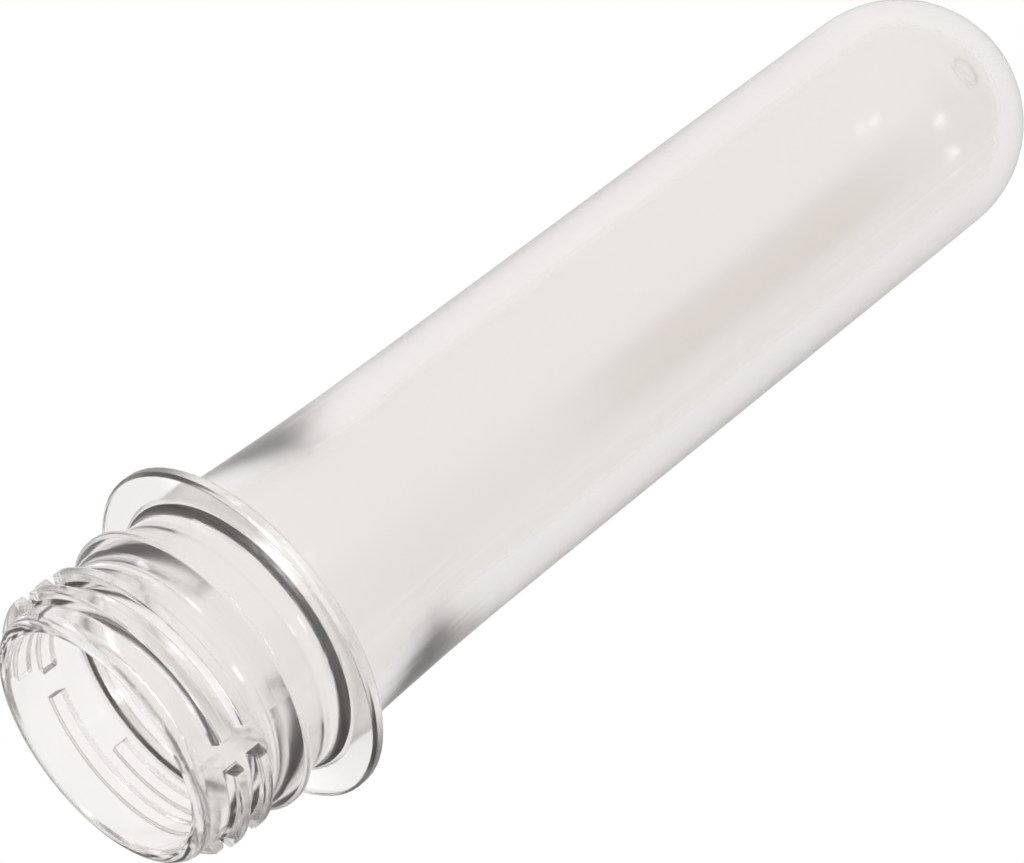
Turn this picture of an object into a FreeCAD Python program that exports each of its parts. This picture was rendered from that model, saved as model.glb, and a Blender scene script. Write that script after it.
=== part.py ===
import FreeCAD, Part
import math
import os
import Sketcher

# A clear injection-moulded bottle preform, standing on its mouth.
# The origin is the middle of the mouth rim, and +Z runs up the tube to the gate at its domed end.

doc = FreeCAD.newDocument("Preform")

# Driving dimensions, in millimetres, degrees and turns

size = {
    # mouth and neck wall
    "neckRadius": 12.47, "mouthPlane": 0, "rimRound": 1.0, "rimInnerBevel": 0.3,
    # screw thread and its vents
    "threadSunk": 11.9, "threadShoulder": 13.57, "threadRadius": 13.72,
    "threadLow": 1.54, "flankLow": 1.865, "crestLow": 2.01, "crestHigh": 2.87,
    "flankHigh": 3.015, "threadHigh": 3.34, "threadPitch": 2.7, "threadTurns": 1.856,
    "threadStart": -167.7, "ventInner": 11, "ventOuter": 15, "ventFloorWidth": 1.8,
    "ventMouthWidth": 4.2, "ventSpacing": 60,
    # tamper-evidence bead
    "beadFoot": 7.77, "beadFootRound": 3.0, "beadSlope": 38, "beadRadius": 14.0,
    "beadLandHigh": 11.25, "beadStep": 11.45, "rootRadius": 12.85,
    # support ring
    "ringRadius": 16.5, "ringFace": 16.15, "ringLow": 16.35, "ringHigh": 17.6,
    "ringBevel": 0.3, "rootRound": 0.7, "shoulderBevel": 0.6,
    # tube, domed end and gate
    "shoulderRadius": 13.01, "flareTop": 44, "flareRadius": 12.2, "domeBase": 106.65,
    "domeRadius": 11.93, "gateRadius": 2.0, "gateFoot": 118.43, "gateTop": 119.4,
    "gateBevel": 0.15, "gateMarkRadius": 0.9, "gateMarkFloor": 119.15,
    # core
    "boreRadius": 10.87, "boreDepth": 8.9, "coreStepRadius": 10.75, "coreStep": 9.8,
    "coreNeckRadius": 10.45, "coreShoulder": 19, "coreMidRadius": 9.725, "coreMid": 29,
    "coreRadius": 9, "coreTaperTop": 39, "coreEndRadius": 8.75, "coreEndBase": 107.35,
    "coreEndTop": 116.1,
}

# Corners that follow from them. A round is drawn as two equal arcs that meet at its middle.

bow = math.sqrt(0.5)
size["rimFlat"] = size["neckRadius"] - size["rimRound"]
size["rimMidRadius"] = size["rimFlat"] + size["rimRound"] * bow
size["rimMidHeight"] = size["rimRound"] * (1 - bow)
size["boreMouth"] = size["boreRadius"] + size["rimInnerBevel"]
slope = math.radians(size["beadSlope"])
size["beadFlankRadius"] = size["neckRadius"] + size["beadFootRound"] * (1 - math.cos(slope))
size["beadFlank"] = size["beadFoot"] + size["beadFootRound"] * math.sin(slope)
size["beadLandLow"] = (size["beadFlank"]
                       + (size["beadRadius"] - size["beadFlankRadius"]) / math.tan(slope))
size["rootLow"] = size["ringFace"] - size["rootRound"]
size["rootOuter"] = size["rootRadius"] + size["rootRound"]
size["rootMidRadius"] = size["rootOuter"] - size["rootRound"] * bow
size["rootMidHeight"] = size["rootLow"] + size["rootRound"] * bow
size["ringFlat"] = size["ringRadius"] - size["ringBevel"]
size["ringEdgeLow"] = size["ringLow"] + size["ringBevel"]
size["ringEdgeHigh"] = size["ringHigh"] - size["ringBevel"]
size["shoulderFoot"] = size["shoulderRadius"] + size["shoulderBevel"]
size["shoulderTop"] = size["ringHigh"] + size["shoulderBevel"]
size["gateFlat"] = size["gateRadius"] - size["gateBevel"]
size["gateEdge"] = size["gateTop"] - size["gateBevel"]

sheet = doc.addObject("Spreadsheet::Sheet", "Dimensions")
for row, (name, number) in enumerate(size.items(), start=1):
    sheet.set("A%d" % row, name)
    sheet.set("B%d" % row, str(number))
    sheet.setAlias("B%d" % row, name)
doc.recompute()

body = doc.addObject("PartDesign::Body", "Preform")
body.Label = "preform"
body.AllowCompound = True


# Sketch helpers

def newSketch(name, role="XZ_Plane"):
    sketch = body.newObject("Sketcher::SketchObject", name)
    plane = next(each for each in body.Origin.OriginFeatures if each.Role == role)
    sketch.AttachmentSupport = [(plane, "")]
    sketch.MapMode = "FlatFace"
    return sketch


def limit(sketch, *parts):
    sketch.addConstraint(Sketcher.Constraint(*parts))


def tie(sketch, kind, where, alias):
    """Sets one distance, radius or angle of a sketch from its cell in the sheet."""
    number = size[alias]
    if kind == "Angle":
        number = FreeCAD.Units.Quantity("%s deg" % number)
    limit(sketch, kind, *where, number)
    name = "%s%d" % (alias, sketch.ConstraintCount)
    sketch.renameConstraint(sketch.ConstraintCount - 1, name)
    sketch.setExpression("Constraints." + name, "Dimensions." + alias)


def placeEnd(sketch, edge, end, across, up):
    """Holds one end of an edge at a radius, or on the axis, and at a height."""
    if across:
        tie(sketch, "DistanceX", (-1, 1, edge, end), across)
    else:
        limit(sketch, "PointOnObject", edge, end, -2)
    if size[up] == 0:
        limit(sketch, "PointOnObject", edge, end, -1)
    else:
        tie(sketch, "DistanceY", (-1, 1, edge, end), up)


def arcBetween(start, end, centre):
    circle = Part.Circle(centre, FreeCAD.Vector(0, 0, 1), start.distanceToPoint(centre))
    return Part.ArcOfCircle(circle, circle.parameter(start), circle.parameter(end))


def arcCentre(start, end, level):
    """Finds an arc's centre on the axis, or level with a height of the sheet."""
    if level == "axis":
        up = (end.y ** 2 - start.y ** 2 - start.x ** 2) / (2 * (end.y - start.y))
        return FreeCAD.Vector(0, up, 0)
    up = size[level]
    across = start.x ** 2 + (start.y - up) ** 2 - end.x ** 2 - (end.y - up) ** 2
    return FreeCAD.Vector(across / (2 * (start.x - end.x)), up, 0)


def drawOutline(sketch, corners, arcs, ruled=()):
    """Draws a closed half section.

    A corner is a radius and a height, the radius empty on the axis. arcs tells, by the number
    of the corner where it starts, an arc whose centre is on the axis or level with a height.
    ruled holds the corners where a long straight wall starts: it is drawn as a spline of
    degree 1, and turns into a ruled face.
    """
    points = [FreeCAD.Vector(size[a] if a else 0, size[u], 0) for a, u in corners]
    first = []
    for edge, start in enumerate(points):
        end = points[(edge + 1) % len(points)]
        first.append(1)
        if edge in ruled:
            straight = Part.BSplineCurve([start, end], [2, 2], [0.0, 1.0], False, 1)
            sketch.addGeometry(straight, False)
            continue
        if edge not in arcs:
            sketch.addGeometry(Part.LineSegment(start, end), False)
            continue
        centre = arcCentre(start, end, arcs[edge])
        if (start - centre).cross(end - centre).z > 0:
            sketch.addGeometry(arcBetween(start, end, centre), False)
        else:
            # arcs run anticlockwise, so this one is drawn from its far end
            sketch.addGeometry(arcBetween(end, start, centre), False)
            first[edge] = 2
    for edge, corner in enumerate(corners):
        following = (edge + 1) % len(corners)
        limit(sketch, "Coincident", edge, 3 - first[edge], following, first[following])
        placeEnd(sketch, edge, first[edge], *corner)
        if arcs.get(edge) == "axis":
            limit(sketch, "PointOnObject", edge, 3, -2)
        elif edge in arcs:
            tie(sketch, "DistanceY", (-1, 1, edge, 3), arcs[edge])


# Solid helper

def turned(kind, sketch, name):
    """Turns a half section all the way round its vertical axis."""
    feature = body.newObject("PartDesign::" + kind, name)
    feature.Profile = sketch
    feature.ReferenceAxis = (sketch, ["V_Axis"])
    feature.Angle = 360
    doc.recompute()
    return feature


# Screw thread: one ridge with bevelled crest, swept up a right-handed helix

section = newSketch("ThreadSection")
section.AttachmentOffset = FreeCAD.Placement(FreeCAD.Vector(0, 0, 0), FreeCAD.Vector(0, 1, 0), 0)
section.setExpression(".AttachmentOffset.Rotation.Angle", "Dimensions.threadStart")
drawOutline(section, [
    ("threadSunk", "threadLow"), ("threadShoulder", "flankLow"), ("threadRadius", "crestLow"),
    ("threadRadius", "crestHigh"), ("threadShoulder", "flankHigh"), ("threadSunk", "threadHigh"),
], {})
thread = body.newObject("PartDesign::AdditiveHelix", "Thread")
thread.Profile = section
thread.ReferenceAxis = (section, ["V_Axis"])
thread.Mode = "pitch-turns-angle"
thread.setExpression("Pitch", "Dimensions.threadPitch")
thread.setExpression("Turns", "Dimensions.threadTurns")
doc.recompute()
ridge = thread.Shape.Volume

# Four vents cut through the ridge before the wall joins it: an opposite pair, and the same pair
# turned. Each opens outwards like a V.

vent = newSketch("VentSection", "XY_Plane")
for side, first in ((1, 0), (-1, 4)):
    inner, outer = side * size["ventInner"], side * size["ventOuter"]
    floor, mouth = size["ventFloorWidth"] / 2, size["ventMouthWidth"] / 2
    corners = [(inner, floor), (inner, -floor), (outer, -mouth), (outer, mouth)]
    points = [FreeCAD.Vector(across, along, 0) for across, along in corners]
    for edge in range(4):
        vent.addGeometry(Part.LineSegment(points[edge], points[(edge + 1) % 4]), False)
    for edge in range(4):
        limit(vent, "Coincident", first + edge, 2, first + (edge + 1) % 4, 1)
    limit(vent, "Symmetric", first, 1, first, 2, -1)
    limit(vent, "Symmetric", first + 2, 1, first + 2, 2, -1)
    tie(vent, "Distance", (first,), "ventFloorWidth")
    tie(vent, "Distance", (first + 2,), "ventMouthWidth")
    ends = [(-1, 1, first, 1), (-1, 1, first + 2, 1)]
    for reach, alias in zip(ends, ("ventInner", "ventOuter")):
        tie(vent, "DistanceX", reach if side > 0 else reach[2:] + reach[:2], alias)
pair = body.newObject("PartDesign::Pocket", "VentPair")
pair.Profile = vent
pair.Type = "ThroughAll"
pair.SideType = "Symmetric"
doc.recompute()
halfVented = pair.Shape.Volume
vents = body.newObject("PartDesign::PolarPattern", "Vents")
vents.Originals = [pair]
vents.Axis = (vent, ["N_Axis"])
vents.Occurrences = 2
vents.setExpression("Angle", "Dimensions.ventSpacing")
body.Tip = vents
doc.recompute()
print("ridge %.1f mm3, two vents %.1f mm3, four vents %.1f mm3"
      % (ridge, halfVented, vents.Shape.Volume))

# Neck, bead, support ring, tube, dome and gate, turned as one solid that joins the ridge

outer = newSketch("OuterOutline")
drawOutline(outer, [
    ("", "mouthPlane"), ("rimFlat", "mouthPlane"), ("rimMidRadius", "rimMidHeight"),
    ("neckRadius", "rimRound"), ("neckRadius", "beadFoot"), ("beadFlankRadius", "beadFlank"),
    ("beadRadius", "beadLandLow"),
    ("beadRadius", "beadLandHigh"), ("rootRadius", "beadStep"), ("rootRadius", "rootLow"),
    ("rootMidRadius", "rootMidHeight"), ("rootOuter", "ringFace"), ("ringFlat", "ringLow"),
    ("ringRadius", "ringEdgeLow"), ("ringRadius", "ringEdgeHigh"), ("ringFlat", "ringHigh"),
    ("shoulderFoot", "ringHigh"), ("shoulderRadius", "shoulderTop"), ("flareRadius", "flareTop"),
    ("domeRadius", "domeBase"), ("gateRadius", "gateFoot"), ("gateRadius", "gateEdge"),
    ("gateFlat", "gateTop"), ("gateMarkRadius", "gateTop"), ("gateMarkRadius", "gateMarkFloor"),
    ("", "gateMarkFloor"),
], {1: "rimRound", 2: "rimRound", 4: "beadFoot", 9: "rootLow", 10: "rootLow", 17: "flareTop",
    19: "axis"}, (18,))
wall = turned("Revolution", outer, "Wall")
solid = wall.Shape.Volume

# Core: a straight bore behind the mouth, a small step, and an S-shaped taper into the long tube

inner = newSketch("CoreOutline")
drawOutline(inner, [
    ("", "mouthPlane"), ("boreMouth", "mouthPlane"), ("boreRadius", "rimInnerBevel"),
    ("boreRadius", "boreDepth"), ("coreStepRadius", "coreStep"),
    ("coreNeckRadius", "coreShoulder"), ("coreMidRadius", "coreMid"),
    ("coreRadius", "coreTaperTop"), ("coreEndRadius", "coreEndBase"), ("", "coreEndTop"),
], {5: "coreShoulder", 6: "coreTaperTop", 8: "axis"}, (4, 7))
core = turned("Groove", inner, "Core")
print("solid %.0f mm3, hollow %.0f mm3" % (solid, core.Shape.Volume))
if core.Shape.Volume > 0.6 * solid:
    raise RuntimeError("the core did not cut")

# Every object must have worked before anything is written

for each in doc.Objects:
    if "Invalid" in each.State or "Error" in each.State:
        raise RuntimeError("%s failed: %s" % (each.Name, each.State))
shape = body.Shape
if shape.isNull() or not shape.isValid() or len(shape.Solids) != 1:
    raise RuntimeError("the preform is not one valid solid")
print("preform %.0f mm3, %.2f g" % (shape.Volume, shape.Volume * 1.335e-3))
os.makedirs("parts", exist_ok=True)
shape.exportStep("parts/" + body.Label + ".step")
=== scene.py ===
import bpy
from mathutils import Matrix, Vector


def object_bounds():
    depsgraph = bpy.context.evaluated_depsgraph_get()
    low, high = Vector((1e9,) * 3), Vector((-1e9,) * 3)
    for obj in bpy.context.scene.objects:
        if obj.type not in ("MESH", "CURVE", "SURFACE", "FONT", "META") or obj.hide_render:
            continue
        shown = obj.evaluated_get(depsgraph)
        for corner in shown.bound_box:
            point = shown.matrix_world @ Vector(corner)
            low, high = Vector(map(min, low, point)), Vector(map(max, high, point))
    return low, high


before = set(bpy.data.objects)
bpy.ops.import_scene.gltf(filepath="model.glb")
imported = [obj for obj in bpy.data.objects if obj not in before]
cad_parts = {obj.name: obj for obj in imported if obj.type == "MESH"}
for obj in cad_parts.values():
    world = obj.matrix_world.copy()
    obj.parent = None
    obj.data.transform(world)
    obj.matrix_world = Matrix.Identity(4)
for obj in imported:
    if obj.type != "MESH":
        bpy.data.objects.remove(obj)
cadBox = [list(corner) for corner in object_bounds()]

import math

import bpy
from mathutils import Matrix, Vector

# a clear bottle preform, standing on its mouth


class Wire:
    # a socket that shader maths can be written on
    def __init__(self, board, socket):
        self.board = board
        self.socket = socket

    def maths(self, operation, first, second):
        node = self.board.nodes.new("ShaderNodeMath")
        node.operation = operation
        for slot, value in zip(node.inputs, (first, second)):
            self.board.feed(slot, value)
        return Wire(self.board, node.outputs["Value"])

    def __add__(self, other):
        return self.maths("ADD", self, other)

    def __radd__(self, other):
        return self.maths("ADD", other, self)

    def __sub__(self, other):
        return self.maths("SUBTRACT", self, other)

    def __rsub__(self, other):
        return self.maths("SUBTRACT", other, self)

    def __mul__(self, other):
        return self.maths("MULTIPLY", self, other)

    def __rmul__(self, other):
        return self.maths("MULTIPLY", other, self)

    def larger(self, other):
        return self.maths("MAXIMUM", self, other)


class Board:
    # the node tree of a material or of the world
    def __init__(self, owner):
        owner.use_nodes = True
        self.tree = owner.node_tree
        self.nodes = owner.node_tree.nodes
        self.nodes.clear()

    def feed(self, slot, value):
        if isinstance(value, Wire):
            self.tree.links.new(value.socket, slot)
        else:
            slot.default_value = value

    def node(self, kind, settings=None, sockets=None, out=0):
        node = self.nodes.new(kind)
        for name, value in (settings or {}).items():
            setattr(node, name, value)
        for name, value in (sockets or {}).items():
            self.feed(node.inputs[name], value)
        return Wire(self, node.outputs[out]) if node.outputs else None

    def along(self, place, direction):
        # how far the place lies in that direction
        return self.node("ShaderNodeVectorMath", {"operation": "DOT_PRODUCT"},
                         {0: place, 1: direction}, out="Value")

    def fade(self, value, zero, one):
        # 0 up to the first value, then smoothly to 1 at the second
        return self.node("ShaderNodeMapRange", {"interpolation_type": "SMOOTHSTEP"}, {
            "Value": value, "From Min": zero, "From Max": one, "To Min": 0, "To Max": 1})

    def rays(self, *names):
        # 1 for each kind of ray in turn
        path = self.nodes.new("ShaderNodeLightPath")
        return [Wire(self, path.outputs[name]) for name in names]


def towards(azimuth, elevation=0):
    # the direction at these angles round the tube and above the floor, in degrees
    azimuth, elevation = math.radians(azimuth), math.radians(elevation)
    return Vector((math.cos(elevation) * math.cos(azimuth),
                   math.cos(elevation) * math.sin(azimuth), math.sin(elevation)))


# camera, below the mouth and looking up the tube

view = {
    "aim": (0.0003, 0.0005, 0.0510), "distance": 0.4022,
    "azimuth": -34.3, "elevation": -31.74, "roll": 52.2,
    "lens": 158.2, "sensor": 36, "nearest": 0.01,
}


def placeCamera():
    away = towards(view["azimuth"], view["elevation"])
    bpy.ops.object.camera_add(location=Vector(view["aim"]) + away * view["distance"])
    camera = bpy.context.object
    roll = Matrix.Rotation(math.radians(view["roll"]), 3, "Z")
    camera.rotation_euler = (away.to_track_quat("Z", "Y").to_matrix() @ roll).to_euler()
    camera.data.lens = view["lens"]
    camera.data.sensor_width = view["sensor"]
    camera.data.clip_start = view["nearest"]
    bpy.context.scene.camera = camera
    print("camera placed")


# clear plastic, with haze in streaks along the tube

plastic = {
    "colour": (0.936, 0.922, 0.908, 1), "ior": 1.57,
    "absorbed": (0.6, 0.53, 0.46, 1), "density": 13,
    "haze": 0.08, "hazeChange": 0.06,
    "streakScale": 220, "streakDetail": 3, "streakStretch": 0.15,
    "edgeSoftness": 0.00015, "edgeSamples": 4,
}

# painted reflection: a warm band painted up one side of the body, standing in for the studio
# reflected along the tube

paintedReflection = {
    "colour": (0.86, 0.83, 0.785, 1), "side": -18, "width": 0.0036,
    "low": 0.045, "high": 0.103, "fade": 0.018,
    "strength": 0.6, "patchiness": 0.8,
}


# mask of the painted reflection band, patchy along the tube
def paintedReflectionMask(board, place, patches):
    across = board.along(place, towards(paintedReflection["side"] + 90))
    outward = board.along(place, towards(paintedReflection["side"]))
    height = board.along(place, (0, 0, 1))
    width, low, high = paintedReflection["width"], paintedReflection["low"], paintedReflection["high"]
    mark = board.fade(across, -width, -width / 4) * board.fade(across, width, width / 4)
    mark = mark * board.fade(outward, 0, width)
    mark = mark * board.fade(height, low, low + paintedReflection["fade"])
    mark = mark * board.fade(height, high, high - paintedReflection["fade"])
    return mark * (paintedReflection["strength"] + paintedReflection["patchiness"] * patches)


def clearPlastic(preform):
    material = bpy.data.materials.new("clear plastic")
    board = Board(material)
    place = board.node("ShaderNodeTexCoord", out="Object")
    flow = board.node("ShaderNodeMapping", {}, {
        "Vector": place, "Scale": (1, 1, plastic["streakStretch"])})
    patches = board.node("ShaderNodeTexNoise", {}, {
        "Vector": flow, "Scale": plastic["streakScale"], "Detail": plastic["streakDetail"]})
    # the painted reflection warms the base colour inside its band
    colour = board.node("ShaderNodeMix", {"data_type": "RGBA"}, {
        0: paintedReflectionMask(board, place, patches),
        6: plastic["colour"], 7: paintedReflection["colour"]}, out=2)
    softEdges = board.node("ShaderNodeBevel", {"samples": plastic["edgeSamples"]},
                           {"Radius": plastic["edgeSoftness"]})
    shader = board.node("ShaderNodeBsdfPrincipled", {}, {
        "Base Color": colour, "IOR": plastic["ior"], "Transmission Weight": 1,
        "Roughness": patches * plastic["hazeChange"] + plastic["haze"],
        "Normal": softEdges,
    })
    depth = board.node("ShaderNodeVolumeAbsorption", {}, {
        "Color": plastic["absorbed"], "Density": plastic["density"]})
    board.node("ShaderNodeOutputMaterial", {}, {"Surface": shader, "Volume": depth})
    for held in preform.material_slots:
        held.material = material
    print("plastic made")


# matt floor

floorPlate = {"size": 3, "colour": (0.9, 0.9, 0.9, 1), "roughness": 0.9}


def paleFloor():
    bpy.ops.mesh.primitive_plane_add(size=floorPlate["size"], location=(0, 0, 0))
    floor = bpy.context.object
    floor.name = "floor"
    material = bpy.data.materials.new("pale floor")
    board = Board(material)
    matt = board.node("ShaderNodeBsdfPrincipled", {}, {
        "Base Color": floorPlate["colour"], "Roughness": floorPlate["roughness"]})
    clear = board.node("ShaderNodeBsdfTransparent")
    # clear from below, and to the light that the plastic reflects, bends or is lit by
    hidden = board.node("ShaderNodeNewGeometry", out="Backfacing")
    for ray in board.rays("Is Glossy Ray", "Is Transmission Ray", "Is Shadow Ray"):
        hidden = hidden.larger(ray)
    seen = board.node("ShaderNodeMixShader", {}, {0: hidden, 1: matt, 2: clear})
    board.node("ShaderNodeOutputMaterial", {}, {"Surface": seen})
    floor.data.materials.append(material)
    print("floor laid")


# pale room, white where it is seen and softer where it is reflected

room = {
    "ambient": 0.7, "reflected": 0.5, "lean": 0.38, "brightSide": (-125, 15),
    "darkDepth": 0.6, "darkSide": (-2, 35), "darkInner": 8, "darkOuter": 30,
    "bounces": 14,
}


def softLight():
    world = bpy.data.worlds.new("studio")
    bpy.context.scene.world = world
    board = Board(world)
    way = board.node("ShaderNodeTexCoord", out="Generated")
    lean = board.along(way, towards(*room["brightSide"]))
    dark = board.fade(board.along(way, towards(*room["darkSide"])),
                      math.cos(math.radians(room["darkOuter"])),
                      math.cos(math.radians(room["darkInner"])))
    reflected = room["reflected"] + room["lean"] * lean - room["darkDepth"] * dark
    camera, glossy, through = board.rays("Is Camera Ray", "Is Glossy Ray", "Is Transmission Ray")
    clear = camera.larger(through)
    level = clear + (1 - clear) * (glossy * reflected + (1 - glossy) * room["ambient"])
    light = board.node("ShaderNodeBackground", {}, {"Color": (1, 1, 1, 1), "Strength": level})
    board.node("ShaderNodeOutputWorld", {}, {"Surface": light})
    print("light set")


# soft boxes, each at an azimuth and elevation and with a size

softBoxes = {
    "right soft box": (-12, 8, 0.25), "low soft box": (-90, -56, 0.25),
    "left soft box": (-124, -14, 0.25), "far soft box": (150, -37, 0.13),
}
softBoxDistance = 1.2
softBoxBrightness = 6


def placeSoftBoxes():
    middle = Vector((0, 0, sum(corner[2] for corner in cadBox) / 2))
    for name, (azimuth, elevation, size) in softBoxes.items():
        away = towards(azimuth, elevation)
        bpy.ops.object.light_add(type="AREA", location=middle + away * softBoxDistance)
        lamp = bpy.context.object
        lamp.name = name
        lamp.rotation_euler = away.to_track_quat("Z", "Y").to_euler()
        lamp.data.size = size
        lamp.data.energy = softBoxBrightness * math.pi * size * size
        lamp.visible_camera = False
    print("soft boxes placed")


placeCamera()
clearPlastic(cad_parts["preform"])
paleFloor()
softLight()
placeSoftBoxes()

scene = bpy.context.scene
scene.view_settings.view_transform = "Standard"
scene.cycles.max_bounces = room["bounces"]
scene.cycles.transmission_bounces = room["bounces"]
scene.cycles.glossy_bounces = room["bounces"]
